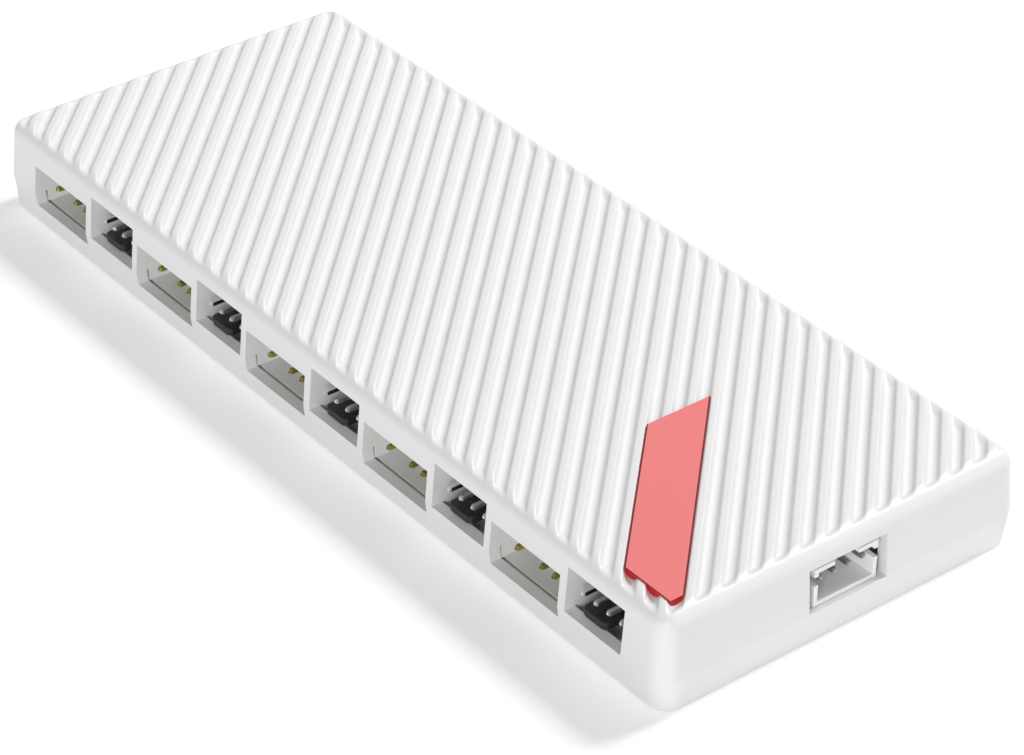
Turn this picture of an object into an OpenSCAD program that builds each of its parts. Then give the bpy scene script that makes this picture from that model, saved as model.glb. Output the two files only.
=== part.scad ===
// Fan hub: a flat ribbed housing with five pairs of fan sockets along one side and a power inlet at one end.
// X runs along the case, the sockets face -Y, and the origin lies under the middle of the case on its rest face.

/* [Housing] */
// Depth of the case from the socket side to the back, at the parting line
case_w = 62; // [56:0.5:80]
// Length of plain wall between the end of the socket row and the end of the case
end_margin = 8.55; // [8:0.05:16]
// Height of the parting line between the tray and the top shell
parting_z = 5.45; // [5:0.05:7]
// Thickness of the moulded walls
wall_t = 1.8; // [1.4:0.1:2.4]
// Thickness of the tray's floor
floor_t = 1.2; // [0.8:0.1:1.4]
// Thickness of the roof under the bottom of the grooves
roof_t = 1.2; // [0.8:0.1:2.5]
// Room between the highest socket and the inside of the roof
headroom = 0.7; // [0.4:0.1:4]
// Corner radius of the case in plan, at the parting line
corner_r = 3.4; // [3:0.1:8]
// Radius of the rounded edge all round the roof
crown_r = 2.6; // [0.8:0.1:3]
// Radius of the tray's lower edge
foot_r = 0.5; // [0.2:0.1:1]
// Lean of the top shell's walls
shell_draft = 4.8; // [1:0.1:6]
// Lean of the tray's walls
tray_draft = 7; // [1:0.1:9]
// Angle at which the rounded edges break into the walls and the roof
crown_break = 6; // [4:1:12]

/* [Ribs] */
// Distance from groove to groove, square to them
rib_pitch = 3.069; // [2.8:0.001:6]
// Distance of the middle groove from the centre of the case, square to it
rib_offset = 0.31; // [-1:0.01:1]
// Angle of the ribs in plan
rib_angle = 45; // [30:1:60]
// Radius of a groove's floor
groove_r = 0.9; // [0.5:0.02:1.2]
// Radius of a rib's rounded shoulder
shoulder_r = 0.48; // [0.2:0.02:0.6]
// Steepest slope of a groove's side
groove_slope = 70; // [45:1:75]
// Slope at which the shoulder meets the flat crest
crest_break = 12; // [6:1:20]

/* [Badge] */
// Number of grooves that the badge fills
badge_grooves = 3; // [1:1:7]
// Number of the badge's middle groove, counted from the middle of the case
badge_groove = 10; // [6:1:12]
// Distance from the badge's cut ends to the socket side and to the inlet end of the case
badge_margin = 3.65; // [3.4:0.05:8]
// Extent of the badge along the case
badge_l = 30.8; // [16:0.1:40]
// Height of the badge over the crests
badge_t = 0.15; // [0.1:0.01:0.4]
// Room left for glue between the badge and the grooves
glue_gap = 0.05; // [0.02:0.01:0.1]

/* [Socket row] */
// Number of pairs, each of one lighting socket and one fan socket
pair_count = 5; // [2:1:8]
// Width of a lighting socket's window
argb_w = 14.2; // [13:0.1:18]
// Width of a fan socket's window
pwm_w = 11.2; // [11:0.1:15]
// Width of the post between the two windows of a pair
post_w = 1.4; // [1:0.05:3]
// Width of the post between one pair and the next
pair_post_w = 1.23; // [1:0.01:4]
// Depth of the walls that guide a plug, from the face of the socket side
guide_l = 7.5; // [6:0.1:7.6]
// Distance of the row's middle from the middle of the case
row_shift = 0.2; // [-0.5:0.1:0.5]
// Height of a lighting window's sill, which is also the top of the circuit board
argb_sill_z = 3.5; // [3.4:0.05:4.5]
// Height of a lighting window above its sill
argb_h = 6.7; // [6:0.1:8]
// Height of a fan window above the parting line
pwm_h = 6.75; // [6.5:0.05:8]

/* [Contacts] */
// Distance from pin to pin in the fan and lighting headers
pin_pitch = 2.54; // [2.5:0.02:2.6]
// Thickness of a square pin
pin_t = 0.64; // [0.5:0.02:0.7]
// Chamfer on the tip of a pin, across the pin
tip_w = 0.14; // [0.05:0.01:0.2]
// Length of that chamfer
tip_l = 0.32; // [0.2:0.02:0.6]
// Height of the lighting pins above the board
argb_pin_h = 3.6; // [3:0.1:4.5]
// Distance of the lighting pins' tips behind the outer wall
argb_pin_set = 1.8; // [0.5:0.1:3]
// Free length of a lighting pin in front of its header
argb_pin_l = 6; // [5:0.1:8]
// Thickness of a lighting header's block
argb_block_t = 2.54; // [2:0.02:4]
// Height of the fan pins above the board
pwm_pin_h = 5.1; // [4.6:0.1:5.6]
// Distance of the fan pins' tips behind the outer wall
pwm_pin_set = 1.4; // [0.5:0.1:3]
// Free length of a fan pin in front of its header
pwm_pin_l = 7; // [5:0.1:9]
// Thickness of a fan header's block
pwm_block_t = 3.2; // [2.5:0.1:5]
// Width of the tongue that keys a fan plug
tongue_w = 4.8; // [3:0.1:6]
// Thickness of the tongue
tongue_t = 1.05; // [0.8:0.05:1.2]
// Distance of the tongue's middle from the middle of its window
tongue_shift = -1.45; // [-1.8:0.05:1.8]
// Height of the tongue's underside above the parting line
tongue_gap = 0.15; // [0.1:0.05:0.4]
// Corner radius of the tongue's free end
tongue_r = 0.9; // [0.3:0.1:1.4]

/* [Power inlet] */
// Width of the inlet's window
inlet_w = 13.4; // [12:0.1:18]
// Height of the inlet's window above the parting line
inlet_h = 6.6; // [6.4:0.05:6.7]
// Width of the shrouded power header
power_w = 10.9; // [10.5:0.1:11.6]
// Height of the shroud
power_h = 5.95; // [5.8:0.05:6.2]
// Thickness of the shroud's walls
power_wall_t = 0.65; // [0.5:0.05:0.8]
// Depth of the shroud's mouth
power_mouth = 7.2; // [6:0.1:9]
// Thickness of the block behind the mouth
power_block_t = 3.5; // [2.5:0.1:5]
// Distance of the shroud's rim behind the outer wall
power_set = 0.8; // [0.5:0.1:1.6]
// Distance from pin to pin in the power header
power_pitch = 2.5; // [2.4:0.05:2.6]
// Distance of the power pins' tips behind the shroud's rim
power_pin_set = 0.65; // [0.3:0.05:2]
// Width of the gap in the middle of the shroud's top
power_gap_w = 4.2; // [2:0.1:6]
// Height of the slots in the shroud's sides
power_slot_h = 1.4; // [1:0.1:2]
// Length of the slots in the shroud's sides
power_slot_l = 4; // [2:0.1:6]

/* [Board and fixings] */
// Thickness of the circuit board
board_t = 1.6; // [1:0.1:1.6]
// Room between the board's edge and the tray's wall
board_gap = 0.35; // [0.2:0.05:1]
// Distance of the screws from the ends of the case
screw_end = 5.4; // [5.2:0.1:6]
// Distance of the screws from the long sides of the case
screw_side = 6.4; // [5.4:0.1:9]
// Diameter of a screw's shank
screw_d = 2.5; // [2:0.1:3]
// Diameter of a screw's countersunk head
screw_head_d = 4.4; // [4:0.1:5]
// Height of a screw's head
screw_head_h = 1.1; // [0.8:0.1:1.1]
// Length of a screw
screw_l = 9; // [6:0.5:10]
// Diameter of the screw bosses
boss_d = 5.4; // [5:0.1:6]
// Play round a screw where it passes the tray, and in its pilot hole
screw_play = 0.1; // [0.05:0.01:0.2]

/* [Hidden] */
$fn = 64;
eps = 0.01;
// How far cutters reach past what they cut
over = 1;
SQRT2 = sqrt(2);

// Socket row
pair_pitch = argb_w + post_w + pwm_w + pair_post_w;
row_l = pair_count * pair_pitch - pair_post_w;
row_x = row_shift - row_l / 2;
case_l = row_l + 2 * end_margin;

// Heights of the housing, from the board up to the crests
board_top = argb_sill_z;
board_z = board_top - board_t;
argb_head_z = argb_sill_z + argb_h;
pwm_head_z = parting_z + pwm_h;
inlet_head_z = parting_z + inlet_h;
ceiling_z = max(argb_head_z, pwm_head_z, inlet_head_z) + headroom;
groove_d = groove_r * (1 - cos(groove_slope)) + shoulder_r * (cos(crest_break) - cos(groove_slope));
case_h = ceiling_z + roof_t + groove_d;

// Half widths of a groove, where its floor ends and where its shoulders end
floor_a = groove_r * sin(groove_slope);
groove_rise = groove_r * (1 - cos(groove_slope)) - groove_d;
groove_bite = 0.004;
mouth_a = floor_a + shoulder_r * (sin(groove_slope) - sin(crest_break));

// A wall's set-back from the parting line at height z
function shell_inset(z) = (z - parting_z) * tan(shell_draft);
function tray_inset(z) = (parting_z - z) * tan(tray_draft);

// Outer face of the socket side, at the height of the fan pins
front_y = -case_w / 2;

// Walls beside the windows, from the roof down to the board behind the tray's rim
guide_root = 0.3;
guide_gap = 0.15;
guide_foot_y = front_y + wall_t + tray_inset(board_top) + guide_gap;
guide_end_t = post_w;

// Header details
lead_out = 1;
notch = 0.5;
lead_below = 0.35;
lead_hole_d = 1;
pwm_block_over = 1.2;
argb_positions = 4;
argb_missing = 1;
pwm_positions = 4;
power_positions = 4;
argb_pin_z = board_top + argb_pin_h;
pwm_pin_z = board_top + pwm_pin_h;
argb_block_h = argb_pin_h + pin_pitch / 2;
pwm_block_h = pwm_pin_h + pin_pitch / 2 + pwm_block_over;
argb_block_y = front_y + argb_pin_set + argb_pin_l;
pwm_block_y = front_y + pwm_pin_set + pwm_pin_l;
argb_lead_y = argb_block_y + argb_block_t + lead_out;
pwm_lead_y = pwm_block_y + pwm_block_t + lead_out;

// Power header
power_lift = 0.1;
power_pin_rise = 3.5;
power_foot_gap = 1.2;
power_slot_drop = 0.2;
power_x = case_l / 2 - power_set;
power_z = parting_z + power_lift;
power_pin_z = power_z + power_pin_rise;
power_block_x = power_x - power_mouth;
power_lead_x = power_block_x - power_block_t - lead_out;
power_foot_x = case_l / 2 - wall_t - power_foot_gap;
power_slot_z = power_pin_z - power_slot_drop;

// Screws stand at the four corners
screw_x = case_l / 2 - screw_end;
screw_y = case_w / 2 - screw_side;
screw_z = 0.15;
corners = [[-1, -1], [1, -1], [1, 1], [-1, 1]];
recess_w = 0.5;
recess_l = 2.4;
recess_d = 0.6;
pilot_spare = 1.5;
boss_step = 1;

// Board outline
board_l = case_l - 2 * (wall_t + tray_inset(board_z) + board_gap);
board_w = case_w - 2 * (wall_t + tray_inset(board_z) + board_gap);
board_r = 1;

// Locating tabs stand on the tray's walls and reach up inside the top shell
tab_w = 9;
tab_t = 1.1;
tab_play = 0.15;
tab_lift = 0.3;
tab_reach = 1.6;
tab_z = board_top + tab_lift;
tab_top = parting_z + tab_reach;
tab_back_x = [-48, 0, 48];
tab_side_y = [-12, 12];

// Parts on the board
chip_size = [10, 4, 1.6];
chip_at = [-16, 6];
chip_legs = 8;
leg_pitch = 1.27;
leg_w = 0.42;
leg_l = 1;
leg_t = 0.2;
can_d = 6.3;
can_h = 7.4;
can_base = [6.6, 6.6, 1];
can_inset = 28;
can_x = case_l / 2 - can_inset;
can_at = [[can_x, 9], [can_x, -1]];

// Places in the socket row
function argb_x(k) = row_x + (k - 1) * pair_pitch;
function pwm_x(k) = argb_x(k) + argb_w + post_w;
function pin_x(middle, positions, pitch, i) = middle + (i - (positions - 1) / 2) * pitch;

// One wall's section: a leaning face, an arc that meets it and the roof at a slight break, and the roof
module edge_profile(corner, h, draft, crown) {
    room = corner * cos(draft) - h * sin(draft);
    fit = min(crown, 0.95 * room / (cos(crown_break) * (1 - sin(draft))));
    rise = h - fit * cos(crown_break);
    centre = [(corner * cos(draft) - fit * cos(crown_break) - rise * sin(draft)) / cos(draft), rise];
    intersection() {
        polygon([[0, 0], [corner, 0], [corner - h * tan(draft), h], [0, h]]);
        union() {
            translate(centre) circle(fit);
            polygon([[0, 0], [corner + over, 0], centre + (fit + over) * [cos(draft), sin(draft)],
                centre, [centre.x, h + over], [0, h + over]]);
        }
    }
}

// A block with leaning walls, rounded corners and a rounded upper edge
module drafted_block(l, w, h, corner, draft, crown) {
    long = l / 2 - corner;
    wide = w / 2 - corner;
    rotate([90, 0, 90]) linear_extrude(2 * long, center = true) union() {
        translate([-wide, 0]) square([2 * wide, h]);
        for (side = [0, 1]) mirror([side, 0]) translate([wide, 0]) edge_profile(corner, h, draft, crown);
    }
    for (side = [0, 1]) mirror([side, 0, 0]) translate([long, 0, 0])
        rotate([90, 0, 0]) linear_extrude(2 * wide, center = true) edge_profile(corner, h, draft, crown);
    for (c = corners) translate([c.x * long, c.y * wide, 0])
        rotate([0, 0, atan2(c.y, c.x) - 45]) rotate_extrude(angle = 90) edge_profile(corner, h, draft, crown);
}

// Section of one groove below the crests: a round floor that runs up into rounded shoulders
module groove_profile(gap) {
    mouth = mouth_a + shoulder_r * sin(crest_break);
    difference() {
        union() {
            translate([0, groove_r - groove_d]) circle(groove_r - gap);
            translate([-mouth, groove_rise]) square([2 * mouth, over - groove_rise]);
        }
        for (side = [-1, 1]) translate([side * (mouth - groove_bite), -shoulder_r * cos(crest_break)])
            circle(shoulder_r + gap);
    }
}

// Grooves from number first to number last, running right across the roof
module grooves(first, last, gap = 0) {
    translate([0, 0, case_h]) rotate([90, 0, rib_angle])
        linear_extrude(case_l + case_w, center = true)
            for (n = [first:last]) translate([rib_offset + n * rib_pitch, 0]) groove_profile(gap);
}

module at_corners() {
    for (c = corners) translate([c.x * screw_x, c.y * screw_y, 0]) children();
}

// Windows of the socket row, cut from sill to head through the front wall
module row_windows(x0, w, sill, head) {
    translate([x0, front_y - over, sill]) cube([w, wall_t + 2 * over, head - sill]);
}

// A wall that guides the plugs, t thick, with its near side at x
module guide_wall(x, t) {
    root_y = front_y + wall_t - guide_root;
    translate([x, root_y, parting_z]) cube([t, front_y + guide_l - root_y, ceiling_z + eps - parting_z]);
    translate([x, guide_foot_y, board_top]) cube([t, front_y + guide_l - guide_foot_y, parting_z + eps - board_top]);
}

module guide_walls() {
    guide_wall(row_x - guide_end_t, guide_end_t);
    guide_wall(row_x + row_l, guide_end_t);
    for (k = [1:pair_count]) guide_wall(argb_x(k) + argb_w, post_w);
    for (k = [1:pair_count - 1]) guide_wall(pwm_x(k) + pwm_w, pair_post_w);
}

module top_shell() {
    inner_corner = corner_r - wall_t;
    outer_h = case_h - parting_z;
    inner_h = ceiling_z - parting_z;
    outermost = ceil((case_l + case_w) / (2 * SQRT2) / rib_pitch);
    color("white") difference() {
        union() {
            difference() {
                translate([0, 0, parting_z])
                    drafted_block(case_l, case_w, outer_h, corner_r, shell_draft, crown_r);
                translate([0, 0, parting_z - eps])
                    drafted_block(case_l - 2 * wall_t, case_w - 2 * wall_t, inner_h + eps,
                        inner_corner, shell_draft, inner_corner / 2);
            }
            at_corners() translate([0, 0, board_top]) cylinder(d = boss_d, h = ceiling_z + eps - board_top);
            guide_walls();
        }
        grooves(-outermost, outermost);
        for (k = [1:pair_count]) {
            row_windows(argb_x(k), argb_w, parting_z - over, argb_head_z);
            row_windows(pwm_x(k), pwm_w, parting_z - over, pwm_head_z);
        }
        translate([case_l / 2 - wall_t - over, -inlet_w / 2, parting_z - over])
            cube([wall_t + 2 * over, inlet_w, inlet_h + over]);
        at_corners() translate([0, 0, board_top - over])
            cylinder(d = screw_d + screw_play, h = screw_z + screw_l + pilot_spare + over - board_top);
    }
}

module bottom_tray() {
    inner_corner = corner_r - wall_t;
    color("white") difference() {
        union() {
            difference() {
                translate([0, 0, parting_z]) mirror([0, 0, 1])
                    drafted_block(case_l, case_w, parting_z, corner_r, tray_draft, foot_r);
                translate([0, 0, parting_z + eps]) mirror([0, 0, 1])
                    drafted_block(case_l - 2 * wall_t, case_w - 2 * wall_t, parting_z + eps - floor_t,
                        inner_corner, tray_draft, foot_r);
            }
            at_corners() translate([0, 0, floor_t - eps]) cylinder(d = boss_d + boss_step, h = board_z - floor_t + eps);
            locating_tabs();
        }
        for (k = [1:pair_count]) row_windows(argb_x(k), argb_w, argb_sill_z, parting_z + over);
        at_corners() {
            translate([0, 0, -over]) cylinder(d = screw_d + 2 * screw_play, h = board_z + 2 * over);
            translate([0, 0, -over]) cylinder(d = screw_head_d + 2 * screw_play, h = screw_z + over + eps);
            translate([0, 0, screw_z])
                cylinder(d1 = screw_head_d + 2 * screw_play, d2 = screw_d + 2 * screw_play, h = screw_head_h);
        }
    }
}

module locating_tabs() {
    for (x = tab_back_x) translate([x, case_w / 2 - wall_t, 0]) locating_tab();
    for (y = tab_side_y) translate([-case_l / 2 + wall_t, y, 0]) rotate([0, 0, 90]) locating_tab();
}

// A tab grows out of the tray's wall and clears the top shell's wall above the parting line
module locating_tab() {
    play = tab_play + shell_inset(tab_top);
    translate([-tab_w / 2, -play - tab_t, tab_z]) cube([tab_w, tab_t, tab_top - tab_z]);
    translate([-tab_w / 2, -play - eps, tab_z]) cube([tab_w, play + eps, parting_z - tab_z]);
}

// The badge lies on the crests and fills the grooves under it
module badge() {
    middle_u = rib_offset + badge_groove * rib_pitch;
    half_w = (badge_grooves - 1) / 2 * rib_pitch + floor_a;
    reach = (badge_grooves - 1) / 2;
    right_x = case_l / 2 - badge_margin;
    near_y = front_y + badge_margin;
    color("crimson") intersection() {
        rotate([0, 0, rib_angle]) translate([middle_u - half_w, -case_l, ceiling_z])
            cube([2 * half_w, 2 * case_l, case_h + badge_t - ceiling_z]);
        translate([right_x - badge_l, near_y, ceiling_z]) cube([badge_l, case_w, roof_t + groove_d + badge_t]);
        union() {
            translate([0, 0, case_h]) rotate([90, 0, rib_angle]) linear_extrude(case_l + case_w, center = true)
                translate([middle_u - half_w, 0]) square([2 * half_w, badge_t]);
            grooves(badge_groove - reach, badge_groove + reach, glue_gap);
        }
    }
}

module circuit_board() {
    color("gainsboro") difference() {
        translate([0, 0, board_z]) linear_extrude(board_t) union() {
            square([board_l - 2 * board_r, board_w], center = true);
            square([board_l, board_w - 2 * board_r], center = true);
            for (c = corners) translate([c.x * (board_l / 2 - board_r), c.y * (board_w / 2 - board_r)])
                circle(board_r);
        }
        at_corners() translate([0, 0, board_z - over])
            cylinder(d = screw_d + 4 * screw_play, h = board_t + 2 * over);
        for (k = [1:pair_count]) {
            for (i = [0:argb_positions - 1]) if (i != argb_missing)
                lead_hole(pin_x(argb_x(k) + argb_w / 2, argb_positions, pin_pitch, i), argb_lead_y);
            for (i = [0:pwm_positions - 1])
                lead_hole(pin_x(pwm_x(k) + pwm_w / 2, pwm_positions, pin_pitch, i), pwm_lead_y);
        }
        for (i = [0:power_positions - 1])
            lead_hole(power_lead_x, pin_x(0, power_positions, power_pitch, i));
    }
}

module lead_hole(x, y) {
    translate([x, y, board_z - over]) cylinder(d = lead_hole_d, h = board_t + 2 * over);
}

// A square pin along +Y from its chamfered tip at the origin, bent down through the board at its lead
module bent_pin(reach, drop) {
    half = pin_t / 2;
    intersection() {
        linear_extrude(pin_t, center = true) pin_outline(reach + half);
        rotate([0, 90, 0]) linear_extrude(pin_t, center = true) pin_outline(reach + half);
    }
    translate([-half, reach - half, -drop]) cube([pin_t, pin_t, drop]);
}

module pin_outline(l) {
    half = pin_t / 2;
    polygon([[tip_w - half, 0], [half - tip_w, 0], [half, tip_l], [half, l], [-half, l], [-half, tip_l]]);
}

// Square passages for a header's pins
module pin_passages(middle, positions, missing, y, depth, z) {
    for (i = [0:positions - 1]) if (i != missing)
        translate([pin_x(middle, positions, pin_pitch, i) - pin_t / 2, y - over, z - pin_t / 2])
            cube([pin_t, depth + 2 * over, pin_t]);
}

// Notches along a header's upper edge, between one pin's place and the next
module place_notches(middle, positions, y, depth, top) {
    for (i = [1:positions - 1])
        translate([middle + (i - positions / 2) * pin_pitch, y - over, top]) rotate([0, 45, 0])
            translate([-notch / 2, 0, -notch / 2]) cube([notch, depth + 2 * over, notch]);
}

module argb_header(k) {
    middle = argb_x(k) + argb_w / 2;
    w = argb_positions * pin_pitch;
    color("whitesmoke") difference() {
        translate([middle - w / 2, argb_block_y, board_top]) cube([w, argb_block_t, argb_block_h]);
        pin_passages(middle, argb_positions, argb_missing, argb_block_y, argb_block_t, argb_pin_z);
        place_notches(middle, argb_positions, argb_block_y, argb_block_t, board_top + argb_block_h);
    }
}

module argb_pins(k) {
    middle = argb_x(k) + argb_w / 2;
    tip_y = front_y + argb_pin_set;
    color("gold") for (i = [0:argb_positions - 1]) if (i != argb_missing)
        translate([pin_x(middle, argb_positions, pin_pitch, i), tip_y, argb_pin_z])
            bent_pin(argb_lead_y - tip_y, argb_pin_h + board_t + lead_below);
}

// A fan header is an upright block with a keying tongue that reaches out below the pins
module pwm_header(k) {
    middle = pwm_x(k) + pwm_w / 2;
    w = pwm_positions * pin_pitch;
    tongue_y = front_y + pwm_pin_set;
    tongue_l = pwm_pin_l + eps;
    color("black") difference() {
        union() {
            translate([middle - w / 2, pwm_block_y, board_top]) cube([w, pwm_block_t, pwm_block_h]);
            translate([middle + tongue_shift, tongue_y, parting_z + tongue_gap]) linear_extrude(tongue_t) union() {
                translate([-tongue_w / 2, tongue_r]) square([tongue_w, tongue_l - tongue_r]);
                translate([-tongue_w / 2 + tongue_r, 0]) square([tongue_w - 2 * tongue_r, tongue_r + eps]);
                for (side = [-1, 1]) translate([side * (tongue_w / 2 - tongue_r), tongue_r]) circle(tongue_r);
            }
        }
        pin_passages(middle, pwm_positions, -1, pwm_block_y, pwm_block_t, pwm_pin_z);
        place_notches(middle, pwm_positions, pwm_block_y, pwm_block_t, board_top + pwm_block_h);
    }
}

module pwm_pins(k) {
    middle = pwm_x(k) + pwm_w / 2;
    tip_y = front_y + pwm_pin_set;
    color("silver") for (i = [0:pwm_positions - 1])
        translate([pin_x(middle, pwm_positions, pin_pitch, i), tip_y, pwm_pin_z])
            bent_pin(pwm_lead_y - tip_y, pwm_pin_h + board_t + lead_below);
}

// The power header is a shrouded box on a foot, open towards the end of the case
module power_header() {
    back_x = power_block_x - power_block_t;
    inner_w = power_w - 2 * power_wall_t;
    color("ivory") difference() {
        union() {
            translate([back_x, -power_w / 2, power_z]) cube([power_x - back_x, power_w, power_h]);
            translate([back_x, -power_w / 2, board_top])
                cube([power_foot_x - back_x, power_w, power_z - board_top + eps]);
        }
        translate([power_block_x, -inner_w / 2, power_z + power_wall_t])
            cube([power_mouth + over, inner_w, power_h - 2 * power_wall_t]);
        translate([power_block_x, -power_gap_w / 2, power_z + power_h / 2])
            cube([power_mouth + over, power_gap_w, power_h]);
        translate([power_x - power_slot_l, -power_w / 2 - over, power_slot_z])
            cube([power_slot_l + over, power_w + 2 * over, power_slot_h]);
        for (i = [0:power_positions - 1])
            translate([back_x - over, pin_x(0, power_positions, power_pitch, i) - pin_t / 2,
                power_pin_z - pin_t / 2]) cube([power_block_t + 2 * over, pin_t, pin_t]);
    }
}

module power_pins() {
    tip_x = power_x - power_pin_set;
    color("dimgray") for (i = [0:power_positions - 1])
        translate([tip_x, pin_x(0, power_positions, power_pitch, i), power_pin_z])
            rotate([0, 0, 90]) bent_pin(tip_x - power_lead_x, power_pin_z - board_z + lead_below);
}

// Countersunk screws that clamp the tray, the board and the top shell together
module case_screws() {
    color("silver") at_corners() translate([0, 0, screw_z]) difference() {
        union() {
            cylinder(d1 = screw_head_d, d2 = screw_d, h = screw_head_h);
            translate([0, 0, screw_head_h - eps]) cylinder(d = screw_d, h = screw_l - screw_head_h + eps);
        }
        for (turn = [0, 90]) rotate([0, 0, turn])
            translate([-recess_l / 2, -recess_w / 2, -over]) cube([recess_l, recess_w, recess_d + over]);
    }
}

module controller_chip() {
    color("dimgray") translate([chip_at.x, chip_at.y, board_top]) {
        translate([-chip_size.x / 2, -chip_size.y / 2, leg_t]) cube(chip_size);
        for (i = [0:chip_legs - 1], side = [-1, 1])
            translate([(i - (chip_legs - 1) / 2) * leg_pitch, side * (chip_size.y / 2), 0]) {
                translate([-leg_w / 2, side > 0 ? 0 : -leg_l, 0]) cube([leg_w, leg_l, leg_t]);
                translate([-leg_w / 2, -leg_t, 0]) cube([leg_w, 2 * leg_t, chip_size.z / 2]);
            }
    }
}

module filter_capacitor(at) {
    color("silver") translate([at.x, at.y, board_top]) {
        translate([-can_base.x / 2, -can_base.y / 2, 0]) cube(can_base);
        cylinder(d = can_d, h = can_h);
    }
}

top_shell();
bottom_tray();
badge();
circuit_board();
argb_header(1);  // argb_header_1
argb_header(2);  // argb_header_2
argb_header(3);  // argb_header_3
argb_header(4);  // argb_header_4
argb_header(5);  // argb_header_5
argb_pins(1);  // argb_pins_1
argb_pins(2);  // argb_pins_2
argb_pins(3);  // argb_pins_3
argb_pins(4);  // argb_pins_4
argb_pins(5);  // argb_pins_5
pwm_header(1);  // pwm_header_1
pwm_header(2);  // pwm_header_2
pwm_header(3);  // pwm_header_3
pwm_header(4);  // pwm_header_4
pwm_header(5);  // pwm_header_5
pwm_pins(1);  // pwm_pins_1
pwm_pins(2);  // pwm_pins_2
pwm_pins(3);  // pwm_pins_3
pwm_pins(4);  // pwm_pins_4
pwm_pins(5);  // pwm_pins_5
power_header();
power_pins();
case_screws();
controller_chip();
filter_capacitor(can_at[0]);  // filter_capacitor_1
filter_capacitor(can_at[1]);  // filter_capacitor_2
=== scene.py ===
import math

import bmesh
import bpy
from mathutils import Matrix, Quaternion, Vector


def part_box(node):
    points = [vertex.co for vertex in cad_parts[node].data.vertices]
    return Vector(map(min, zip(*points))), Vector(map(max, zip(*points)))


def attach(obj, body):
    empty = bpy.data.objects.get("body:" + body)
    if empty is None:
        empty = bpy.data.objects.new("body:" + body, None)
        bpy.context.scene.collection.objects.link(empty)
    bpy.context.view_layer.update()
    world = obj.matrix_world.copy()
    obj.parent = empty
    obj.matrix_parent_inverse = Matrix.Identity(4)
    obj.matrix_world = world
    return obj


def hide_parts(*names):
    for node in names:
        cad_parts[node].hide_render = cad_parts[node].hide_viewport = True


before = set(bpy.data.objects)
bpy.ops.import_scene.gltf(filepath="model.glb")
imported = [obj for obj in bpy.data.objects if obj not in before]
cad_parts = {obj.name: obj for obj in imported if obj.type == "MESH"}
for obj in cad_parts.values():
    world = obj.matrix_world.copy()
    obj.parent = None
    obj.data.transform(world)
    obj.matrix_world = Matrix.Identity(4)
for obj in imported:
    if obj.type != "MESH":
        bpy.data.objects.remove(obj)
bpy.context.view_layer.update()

# The camera stands to the front right and above, where the photograph was taken from.
# It looks at a point on the case a little right of the middle, with a long lens and hardly any roll.
eye = Vector((0.322353, -0.249047, 0.274826))
aim = Vector((0.015374, -0.005732, 0.0075))
roll = math.radians(0.7007)
photo_lens = 120.30
photo_sensor = 36.0
looking = (aim - eye).to_track_quat("-Z", "Y") @ Quaternion((0, 0, 1), roll)
lens = bpy.data.cameras.new("camera")
lens.sensor_fit = "HORIZONTAL"
lens.sensor_width = photo_sensor
lens.lens = photo_lens
lens.clip_start = 0.01
lens.clip_end = 10.0
camera = bpy.data.objects.new("camera", lens)
camera.matrix_world = Matrix.Translation(eye) @ looking.to_matrix().to_4x4()
bpy.context.collection.objects.link(camera)
bpy.context.scene.camera = camera
bpy.context.scene.view_settings.view_transform = "Standard"


# The bottom tray is the lower half of the case, injection moulded in white ABS.
# Its mould was spark eroded, which leaves a fine matt grain. The colour drifts a little with the flow.
WHITE_ABS = (0.82, 0.82, 0.82)
FLOW_SCALE = 45
GRAIN_SHINE = 0.05


def moulded(name, colour, roughness, grain, depth, drift=0.015):
    """A moulded plastic: grain is the size of its texture and depth how deep that is, both in metres."""
    material = bpy.data.materials.new(name)
    material.use_nodes = True
    nodes, links = material.node_tree.nodes, material.node_tree.links
    surface = nodes["Principled BSDF"]
    place = nodes.new("ShaderNodeTexCoord")

    flow = nodes.new("ShaderNodeTexNoise")
    flow.inputs["Scale"].default_value = FLOW_SCALE
    flow.inputs["Detail"].default_value = 3
    links.new(place.outputs["Object"], flow.inputs["Vector"])
    tint = nodes.new("ShaderNodeMix")
    tint.data_type = "RGBA"
    tint.inputs["A"].default_value = (*[c * (1 - drift) for c in colour], 1)
    tint.inputs["B"].default_value = (*[min(1, c * (1 + drift)) for c in colour], 1)
    links.new(flow.outputs["Fac"], tint.inputs["Factor"])
    links.new(tint.outputs["Result"], surface.inputs["Base Color"])

    texture = nodes.new("ShaderNodeTexNoise")
    texture.inputs["Scale"].default_value = 1 / grain
    texture.inputs["Detail"].default_value = 2
    links.new(place.outputs["Object"], texture.inputs["Vector"])
    bump = nodes.new("ShaderNodeBump")
    bump.inputs["Distance"].default_value = depth
    links.new(texture.outputs["Fac"], bump.inputs["Height"])
    links.new(bump.outputs["Normal"], surface.inputs["Normal"])

    shine = nodes.new("ShaderNodeMapRange")
    shine.inputs["To Min"].default_value = roughness - GRAIN_SHINE
    shine.inputs["To Max"].default_value = roughness + GRAIN_SHINE
    links.new(texture.outputs["Fac"], shine.inputs["Value"])
    links.new(shine.outputs["Result"], surface.inputs["Roughness"])
    surface.inputs["IOR"].default_value = 1.5
    return material


def finish_node(name, material):
    """Gives a CAD node its finish, in every material slot that it has."""
    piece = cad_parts[name]
    if not piece.data.materials:
        piece.data.materials.append(material)
    for place in range(len(piece.data.materials)):
        piece.data.materials[place] = material


tray_plastic = moulded("tray_plastic", WHITE_ABS, roughness=0.42, grain=0.00018, depth=0.000006)
finish_node("bottom_tray", tray_plastic)

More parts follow.
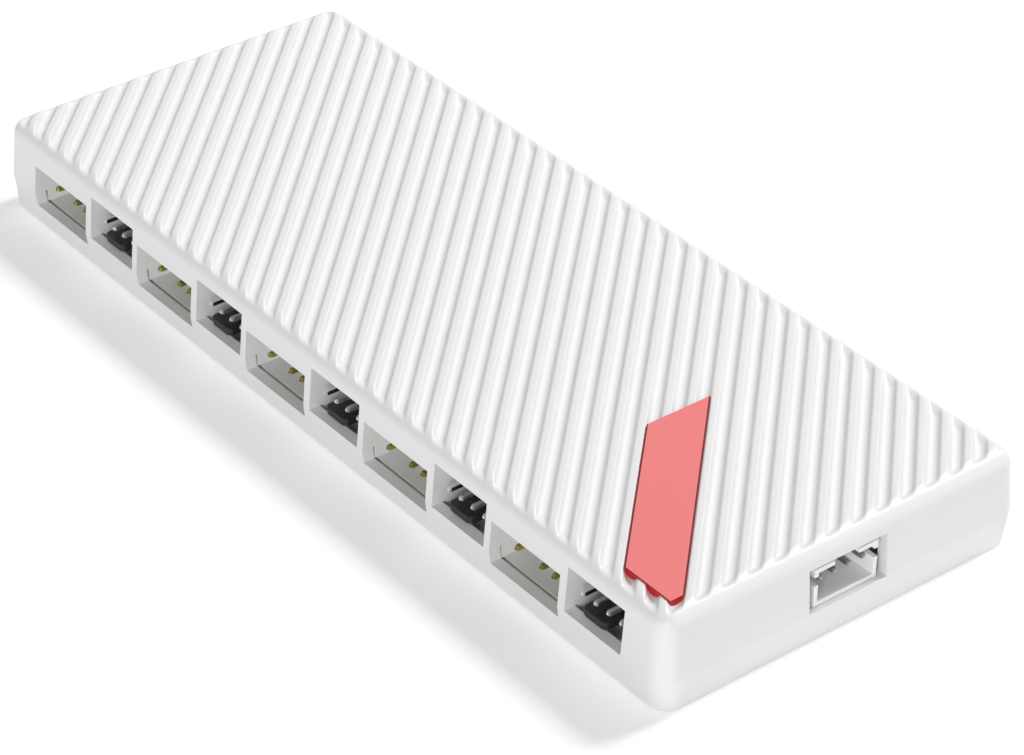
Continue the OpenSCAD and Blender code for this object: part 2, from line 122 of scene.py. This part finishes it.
# The circuit board lies on the tray's bosses, a fibreglass sheet under a pale solder mask.
# Only a strip of it shows, as the floor behind each lighting window.
BOARD_MASK = (0.74, 0.74, 0.74)
board_mask = moulded("board_mask", BOARD_MASK, roughness=0.35, grain=0.0006, depth=0.000004)
finish_node("circuit_board", board_mask)

# The lighting headers are white nylon blocks, soldered to the board behind the wide windows.
# Each carries three gold plated square pins, with the second place left empty.
WHITE_NYLON = (0.84, 0.84, 0.84)
GOLD = (0.66, 0.60, 0.15)
# The pins' end faces are painted nearly black, as a painted dark reflection.
DARK_END_REFLECTION = (0.10, 0.09, 0.025)
DRAWN_SMOOTHER = 0.06
DRAWN_ROUGHER = 0.10
DRAWN_DEPTH = 0.02
END_FACING = 0.9
PAIRS = 5


def plated(name, colour, roughness, streak):
    """A plated or polished metal with drawing marks of the given size, in metres."""
    material = bpy.data.materials.new(name)
    material.use_nodes = True
    nodes, links = material.node_tree.nodes, material.node_tree.links
    surface = nodes["Principled BSDF"]
    surface.inputs["Base Color"].default_value = (*colour, 1)
    surface.inputs["Metallic"].default_value = 1
    place = nodes.new("ShaderNodeTexCoord")
    marks = nodes.new("ShaderNodeTexNoise")
    marks.inputs["Scale"].default_value = 1 / streak
    marks.inputs["Detail"].default_value = 4
    links.new(place.outputs["Object"], marks.inputs["Vector"])
    shine = nodes.new("ShaderNodeMapRange")
    shine.inputs["To Min"].default_value = roughness - DRAWN_SMOOTHER
    shine.inputs["To Max"].default_value = roughness + DRAWN_ROUGHER
    links.new(marks.outputs["Fac"], shine.inputs["Value"])
    links.new(shine.outputs["Result"], surface.inputs["Roughness"])
    bump = nodes.new("ShaderNodeBump")
    bump.inputs["Distance"].default_value = streak * DRAWN_DEPTH
    links.new(marks.outputs["Fac"], bump.inputs["Height"])
    links.new(bump.outputs["Normal"], surface.inputs["Normal"])
    return material


def paint_dark_ends(material, direction, dark_colour):
    """Paints the faces that look in a direction nearly black, as a painted dark reflection on the pins'
    ends.
    """
    nodes, links = material.node_tree.nodes, material.node_tree.links
    surface = nodes["Principled BSDF"]
    place = nodes.new("ShaderNodeTexCoord")
    facing = nodes.new("ShaderNodeVectorMath")
    facing.operation = "DOT_PRODUCT"
    facing.inputs[1].default_value = direction
    links.new(place.outputs["Normal"], facing.inputs[0])
    end_face = nodes.new("ShaderNodeMath")
    end_face.operation = "GREATER_THAN"
    end_face.inputs[1].default_value = END_FACING
    links.new(facing.outputs["Value"], end_face.inputs[0])
    metal = nodes.new("ShaderNodeMix")
    metal.data_type = "RGBA"
    metal.inputs["A"].default_value = surface.inputs["Base Color"].default_value
    metal.inputs["B"].default_value = (*dark_colour, 1)
    links.new(end_face.outputs["Value"], metal.inputs["Factor"])
    links.new(metal.outputs["Result"], surface.inputs["Base Color"])


header_nylon = moulded("header_nylon", WHITE_NYLON, roughness=0.38, grain=0.0002, depth=0.000004)
gold_plate = plated("gold_plate", GOLD, roughness=0.12, streak=0.0004)
# The gold pins' forward-facing ends get the painted dark reflection.
paint_dark_ends(gold_plate, direction=(0, -1, 0), dark_colour=DARK_END_REFLECTION)
for pair in range(1, PAIRS + 1):
    finish_node(f"argb_header_{pair}", header_nylon)
    finish_node(f"argb_pins_{pair}", gold_plate)

# The fan headers are black glass filled nylon, each with a tongue below the pins that keys the plug.
# They are soldered to the board, and their four square pins are plated with bright tin.
BLACK_NYLON = (0.018, 0.018, 0.02)
BRIGHT_TIN = (0.93, 0.93, 0.94)
black_nylon = moulded("black_nylon", BLACK_NYLON, roughness=0.40, grain=0.00025, depth=0.000008,
                      drift=0.15)
tin_plate = plated("tin_plate", BRIGHT_TIN, roughness=0.11, streak=0.0004)
for pair in range(1, PAIRS + 1):
    finish_node(f"pwm_header_{pair}", black_nylon)
    finish_node(f"pwm_pins_{pair}", tin_plate)

# The power header is a white nylon box, soldered to the board so that it opens at the end of the case.
# It shrouds four pins with a dull tin finish.
SHROUD_WHITE = (0.91, 0.91, 0.91)
DULL_TIN = (0.40, 0.39, 0.38)
shroud_nylon = moulded("shroud_nylon", SHROUD_WHITE, roughness=0.36, grain=0.0002, depth=0.000004)
dull_tin = plated("dull_tin", DULL_TIN, roughness=0.36, streak=0.0003)
finish_node("power_header", shroud_nylon)
finish_node("power_pins", dull_tin)

# A control chip in black epoxy and two capacitors in drawn aluminium cans are soldered to the board.
# They share out the fan signal and smooth the supply, and the closed case hides them.
CHIP_EPOXY = (0.025, 0.025, 0.027)
CAN_ALUMINIUM = (0.80, 0.80, 0.81)
chip_epoxy = moulded("chip_epoxy", CHIP_EPOXY, roughness=0.5, grain=0.0001, depth=0.000006, drift=0.1)
can_metal = plated("can_metal", CAN_ALUMINIUM, roughness=0.3, streak=0.0005)
finish_node("controller_chip", chip_epoxy)
finish_node("filter_capacitor_1", can_metal)
finish_node("filter_capacitor_2", can_metal)

# The top shell is the ribbed upper half of the case, moulded in the same white ABS as the tray.
# Its grooves fade out on the roof's rounded edge, further down it at the front and the left-hand end.
# The roof and that edge are a fine skin here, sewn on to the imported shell's walls with their windows.
CORNER_R = 0.0034
CROWN_R = 0.0026
PARTING_Z = 0.00545
SHELL_DRAFT = math.radians(4.8)
ROOF_DRAFT = math.radians(6)
RIB_PITCH = 0.003069
RIB_OFFSET = 0.00031
GROOVE_R = 0.0009
SHOULDER_R = 0.00048
GROOVE_SLOPE = math.radians(70)
CREST_SLOPE = math.radians(12)
SKIN_RIM = 0.0132
WALL_CUT = 0.01315
RIM_SLACK = 0.000001
WELD = 0.000002
SHARP_EDGE = math.radians(30)
FIELD_SHIFT = Vector((0.0003, 0.0003, 0))
FADE_START = 0.0
FADE_END = 0.0017
EDGE_ROWS = 15
INNER_ROWS = 7
INNER_STEP = 0.0002
FLOOR_LINES = 10
SHOULDER_LINES = 5
TIP_GAPS = (0.0003, 0.00012, 0.00004, 0.000008)
LINE_SHARE = 0.499
HALVINGS = 40

shell_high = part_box("top_shell")[1]
roof_z = shell_high.z
long_side = shell_high.x - CORNER_R
short_side = shell_high.y - CORNER_R
crown_drop = CROWN_R * math.cos(ROOF_DRAFT)
crown_z = roof_z - crown_drop
wall_lean = (crown_z - PARTING_Z) * math.tan(SHELL_DRAFT)
crown_start = CORNER_R - crown_drop / math.cos(SHELL_DRAFT) - wall_lean
floor_half = GROOVE_R * math.sin(GROOVE_SLOPE)
shoulder_at = floor_half + SHOULDER_R * math.sin(GROOVE_SLOPE)
mouth_half = shoulder_at - SHOULDER_R * math.sin(CREST_SLOPE)
groove_deep = (GROOVE_R * (1 - math.cos(GROOVE_SLOPE))
               + SHOULDER_R * (math.cos(CREST_SLOPE) - math.cos(GROOVE_SLOPE)))
rim_angle = math.asin((SKIN_RIM - crown_z) / CROWN_R)
rim_out = crown_start + CROWN_R * math.cos(rim_angle)
ribs_across = Vector((1, 1, 0)).normalized()
ribs_along = Vector((-1, 1, 0)).normalized()


def from_corner_axis(point):
    """How far a point is outside the line through the corners' axes, below nought within it."""
    past_end = abs(point.x) - long_side
    past_side = abs(point.y) - short_side
    return math.hypot(max(past_end, 0), max(past_side, 0)) + min(max(past_end, past_side), 0)


def groove_depth(across):
    """Depth of the grooves under the crests, at a distance across the ribs."""
    off_groove = abs((across - RIB_OFFSET + RIB_PITCH / 2) % RIB_PITCH - RIB_PITCH / 2)
    if off_groove < floor_half:
        return groove_deep - GROOVE_R + math.sqrt(GROOVE_R ** 2 - off_groove ** 2)
    if off_groove < mouth_half:
        rounding = math.sqrt(SHOULDER_R ** 2 - (off_groove - shoulder_at) ** 2)
        return SHOULDER_R * math.cos(CREST_SLOPE) - rounding
    return 0


def roof_height(point, across):
    """Height of the roof and its rounded edge, with the grooves sunk in it."""
    out = max(from_corner_axis(point) - crown_start, 0)
    rise = math.sqrt(max(CROWN_R ** 2 - out ** 2, 0))
    past_field = from_corner_axis(point + FIELD_SHIFT) - crown_start
    share = min(max((FADE_END - past_field) / (FADE_END - FADE_START), 0), 1)
    fade = share * share * (3 - 2 * share)
    return min(roof_z, crown_z + rise) - fade * groove_depth(across)


def rim_reach(inside, way):
    """How far it is from a point on the roof to the skin's rim, in a given direction."""
    near, far = 0.0, 4 * long_side
    for _ in range(HALVINGS):
        middle = (near + far) / 2
        if from_corner_axis(inside + way * middle) < rim_out:
            near = middle
        else:
            far = middle
    return near


def line_middle(across):
    """A point of one line along the ribs that lies on the roof, between the long sides and the ends."""
    total = across * math.sqrt(2)
    low, high = max(total - long_side, -short_side), min(total + long_side, short_side)
    y = (low + high) / 2
    return Vector((total - y, y, 0))


def skin_lines():
    """Distances across the ribs at which the skin has a line of corners."""
    reach = (long_side + short_side) / math.sqrt(2) + rim_out
    steps = [GROOVE_R * math.sin(GROOVE_SLOPE * k / FLOOR_LINES) for k in range(FLOOR_LINES + 1)]
    for k in range(1, SHOULDER_LINES + 1):
        slope = GROOVE_SLOPE + (CREST_SLOPE - GROOVE_SLOPE) * k / SHOULDER_LINES
        steps.append(shoulder_at - SHOULDER_R * math.sin(slope))
    offsets = sorted({side * step for step in steps for side in (-1, 1)} | {RIB_PITCH / 2})
    count = math.ceil(reach / RIB_PITCH) + 1
    grooves = [RIB_OFFSET + n * RIB_PITCH for n in range(-count, count + 1)]
    lines = [groove + offset for groove in grooves for offset in offsets]
    tips = [reach - gap for gap in TIP_GAPS]
    lines = [across for across in lines if abs(across) < tips[0]]
    return sorted(lines + tips + [-tip for tip in tips])


def roof_skin():
    """A grid of corners, with one line for each distance across the ribs and close rows near the rim."""
    angles = [rim_angle + (math.pi / 2 - rim_angle) * k / EDGE_ROWS for k in range(EDGE_ROWS + 1)]
    rows = [math.sqrt(2) * (rim_out - crown_start - CROWN_R * math.cos(angle)) for angle in angles]
    rows += [rows[-1] + math.sqrt(2) * INNER_STEP * k for k in range(1, INNER_ROWS + 1)]
    grid = []
    for across in skin_lines():
        middle = line_middle(across)
        start = middle - ribs_along * rim_reach(middle, -ribs_along)
        end = middle + ribs_along * rim_reach(middle, ribs_along)
        shrink = min(1, LINE_SHARE * (end - start).length / rows[-1])
        line = [start + ribs_along * row * shrink for row in rows]
        line += [end - ribs_along * row * shrink for row in reversed(rows)]
        grid.append([Vector((point.x, point.y, roof_height(point, across))) for point in line])
    return grid


def ribbed_shell():
    """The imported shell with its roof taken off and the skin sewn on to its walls."""
    form = bmesh.new()
    form.from_mesh(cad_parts["top_shell"].data)
    bmesh.ops.remove_doubles(form, verts=form.verts, dist=WELD)
    bmesh.ops.bisect_plane(form, geom=form.verts[:] + form.edges[:] + form.faces[:],
                           plane_co=(0, 0, WALL_CUT), plane_no=(0, 0, 1), clear_outer=True)
    open_edges = [edge for edge in form.edges if edge.is_boundary]
    wall_rim = [edge for edge in open_edges if min(v.co.z for v in edge.verts) > WALL_CUT - RIM_SLACK]
    corners = [[form.verts.new(point) for point in line] for line in roof_skin()]
    skin = []
    for line, following in zip(corners, corners[1:]):
        for k in range(len(line) - 1):
            skin.append(form.faces.new((line[k], following[k], following[k + 1], line[k + 1])))
    skin_rim = list(dict.fromkeys(edge for face in skin for edge in face.edges if edge.is_boundary))
    bmesh.ops.bridge_loops(form, edges=wall_rim + skin_rim)
    bmesh.ops.recalc_face_normals(form, faces=form.faces)
    mesh = bpy.data.meshes.new("ribbed_shell")
    form.to_mesh(mesh)
    form.free()
    mesh.attributes.remove(mesh.attributes["custom_normal"])
    for face in mesh.polygons:
        face.use_smooth = True
    mesh.set_sharp_from_angle(angle=SHARP_EDGE)
    shell = bpy.data.objects.new("ribbed_shell", mesh)
    shading = shell.modifiers.new("even_shading", "WEIGHTED_NORMAL")
    shading.keep_sharp = True
    shading.weight = 100
    return shell


shell_plastic = moulded("shell_plastic", WHITE_ABS, roughness=0.40, grain=0.00018, depth=0.000006)
finish_node("top_shell", shell_plastic)
ribbed = ribbed_shell()
bpy.context.collection.objects.link(ribbed)
ribbed.data.materials.append(shell_plastic)
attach(ribbed, "root")
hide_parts("top_shell")

# The badge is a red inlay, moulded to the section of three grooves and glued into them.
# Its upper face is painted a lighter red as painted light, its sides a deeper red as painted shade, and
# a dark strip along its free edges is a painted shadow line.
SHADED_SIDE_RED = (0.50, 0.012, 0.022)
LIT_TOP_RED = (0.86, 0.225, 0.220)
EDGE_SHADOW_RED = (0.105, 0.006, 0.010)
EDGE_SHADOW_W = 0.00016
UP_FACING = 0.7
TOP_SLACK = 0.00001
BADGE_GLOSS = 0.25
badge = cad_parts["badge"]
badge_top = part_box("badge")[1][2]
upper_corners = [v.co for v in badge.data.vertices if v.co.z > badge_top - TOP_SLACK]
badge_across = [corner.dot(ribs_across) for corner in upper_corners]
front_cut = min(corner.y for corner in upper_corners)


def paint_light_and_shade(material, shadow_width):
    """Paints the faces that look up a lighter red as painted light, with a painted shadow strip of one
    width along the badge's free edges.
    """
    nodes, links = material.node_tree.nodes, material.node_tree.links
    place = nodes.new("ShaderNodeTexCoord")
    facing = nodes.new("ShaderNodeSeparateXYZ")
    links.new(place.outputs["Normal"], facing.inputs["Vector"])
    looks_up = nodes.new("ShaderNodeMath")
    looks_up.operation = "GREATER_THAN"
    looks_up.inputs[1].default_value = UP_FACING
    links.new(facing.outputs["Z"], looks_up.inputs[0])
    inside = looks_up.outputs["Value"]
    one_side = ribs_across, min(badge_across)
    other_side = -ribs_across, -max(badge_across)
    front = Vector((0, 1, 0)), front_cut
    for direction, start in (one_side, other_side, front):
        along = nodes.new("ShaderNodeVectorMath")
        along.operation = "DOT_PRODUCT"
        along.inputs[1].default_value = direction
        links.new(place.outputs["Object"], along.inputs[0])
        clear = nodes.new("ShaderNodeMath")
        clear.operation = "GREATER_THAN"
        clear.inputs[1].default_value = start + shadow_width
        links.new(along.outputs["Value"], clear.inputs[0])
        both = nodes.new("ShaderNodeMath")
        both.operation = "MULTIPLY"
        links.new(inside, both.inputs[0])
        links.new(clear.outputs["Value"], both.inputs[1])
        inside = both.outputs["Value"]
    moulding = nodes["Principled BSDF"].inputs["Base Color"].links[0].from_socket
    # The strip along the free edges is painted shadow, the rest of the upper face painted light, and the
    # sides keep the painted shade red.
    edge_shadow = nodes.new("ShaderNodeMix")
    edge_shadow.data_type = "RGBA"
    edge_shadow.inputs["B"].default_value = (*EDGE_SHADOW_RED, 1)
    links.new(looks_up.outputs["Value"], edge_shadow.inputs["Factor"])
    links.new(moulding, edge_shadow.inputs["A"])
    lit_top = nodes.new("ShaderNodeMix")
    lit_top.data_type = "RGBA"
    lit_top.inputs["B"].default_value = (*LIT_TOP_RED, 1)
    links.new(inside, lit_top.inputs["Factor"])
    links.new(edge_shadow.outputs["Result"], lit_top.inputs["A"])
    links.new(lit_top.outputs["Result"], nodes["Principled BSDF"].inputs["Base Color"])


badge_red = moulded("badge_red", SHADED_SIDE_RED, roughness=0.45, grain=0.00025, depth=0.000004, drift=0.03)
badge_red.node_tree.nodes["Principled BSDF"].inputs["Specular IOR Level"].default_value = BADGE_GLOSS
paint_light_and_shade(badge_red, EDGE_SHADOW_W)
finish_node("badge", badge_red)

# Four countersunk steel screws hold the tray, the board and the shell together from below.
# They are headed and rolled from wire, and a cross recess is struck in each head.
SCREW_STEEL = (0.56, 0.56, 0.58)
screw_steel = plated("screw_steel", SCREW_STEEL, roughness=0.3, streak=0.0003)
finish_node("case_screws", screw_steel)

# The studio has a white table under an even white sky, with a soft box above and behind the case.
# That lamp shades one side of each rib, and two wide ones in front and to the right light the walls.
FLOOR_HALF = 6.0
TABLE_Z = -0.00002
TABLE_WHITE = (0.92, 0.92, 0.92)
SKY_LIGHT = 0.25
TABLE_GLOW = 0.30


def seen_directly(nodes, links):
    """One for rays that see the backdrop, straight or in gloss or glass, and nought for its light."""
    rays = nodes.new("ShaderNodeLightPath")
    kind = rays.outputs["Is Camera Ray"]
    for other in ("Is Glossy Ray", "Is Transmission Ray"):
        either = nodes.new("ShaderNodeMath")
        either.operation = "MAXIMUM"
        links.new(kind, either.inputs[0])
        links.new(rays.outputs[other], either.inputs[1])
        kind = either.outputs["Value"]
    return kind


sky = bpy.data.worlds.new("sky")
bpy.context.scene.world = sky
sky.use_nodes = True
sky_nodes, sky_links = sky.node_tree.nodes, sky.node_tree.links
ambient = sky_nodes["Background"]
ambient.inputs["Color"].default_value = (1, 1, 1, 1)
ambient.inputs["Strength"].default_value = SKY_LIGHT
backdrop = sky_nodes.new("ShaderNodeBackground")
backdrop.inputs["Color"].default_value = (1, 1, 1, 1)
backdrop.inputs["Strength"].default_value = 1.0
choose = sky_nodes.new("ShaderNodeMixShader")
sky_links.new(seen_directly(sky_nodes, sky_links), choose.inputs["Fac"])
sky_links.new(ambient.outputs["Background"], choose.inputs[1])
sky_links.new(backdrop.outputs["Background"], choose.inputs[2])
sky_links.new(choose.outputs["Shader"], sky_nodes["World Output"].inputs["Surface"])

table_mesh = bpy.data.meshes.new("table")
table_mesh.from_pydata(
    [(-FLOOR_HALF, -FLOOR_HALF, TABLE_Z), (FLOOR_HALF, -FLOOR_HALF, TABLE_Z),
     (FLOOR_HALF, FLOOR_HALF, TABLE_Z), (-FLOOR_HALF, FLOOR_HALF, TABLE_Z)], [], [(0, 1, 2, 3)])
table = bpy.data.objects.new("table", table_mesh)
bpy.context.collection.objects.link(table)
table_white = bpy.data.materials.new("table_white")
table_white.use_nodes = True
table_nodes, table_links = table_white.node_tree.nodes, table_white.node_tree.links
table_surface = table_nodes["Principled BSDF"]
table_surface.inputs["Base Color"].default_value = (*TABLE_WHITE, 1)
table_surface.inputs["Roughness"].default_value = 0.9
table_surface.inputs["Specular IOR Level"].default_value = 0.0
table_surface.inputs["Emission Color"].default_value = (1, 1, 1, 1)
table_glow = table_nodes.new("ShaderNodeMath")
table_glow.operation = "MULTIPLY"
table_glow.inputs[1].default_value = TABLE_GLOW
table_links.new(seen_directly(table_nodes, table_links), table_glow.inputs[0])
table_links.new(table_glow.outputs["Value"], table_surface.inputs["Emission Strength"])
table_mesh.materials.append(table_white)


def lamp(name, place, size, power):
    """A square soft box that faces the case: its place and size in metres, and its power in watts."""
    light = bpy.data.lights.new(name, "AREA")
    light.shape = "SQUARE"
    light.size = size
    light.energy = power
    box = bpy.data.objects.new(name, light)
    box.location = place
    box.rotation_mode = "QUATERNION"
    box.rotation_quaternion = (-Vector(place)).to_track_quat("-Z", "Y")
    bpy.context.collection.objects.link(box)
    return box


lamp("key", place=(0.03, 0.82, 0.94), size=0.36, power=12.0)
lamp("fill", place=(1.80, -2.10, 0.84), size=1.4, power=42.0)
lamp("front", place=(0.2, -2.8, 0.48), size=1.0, power=5.0)
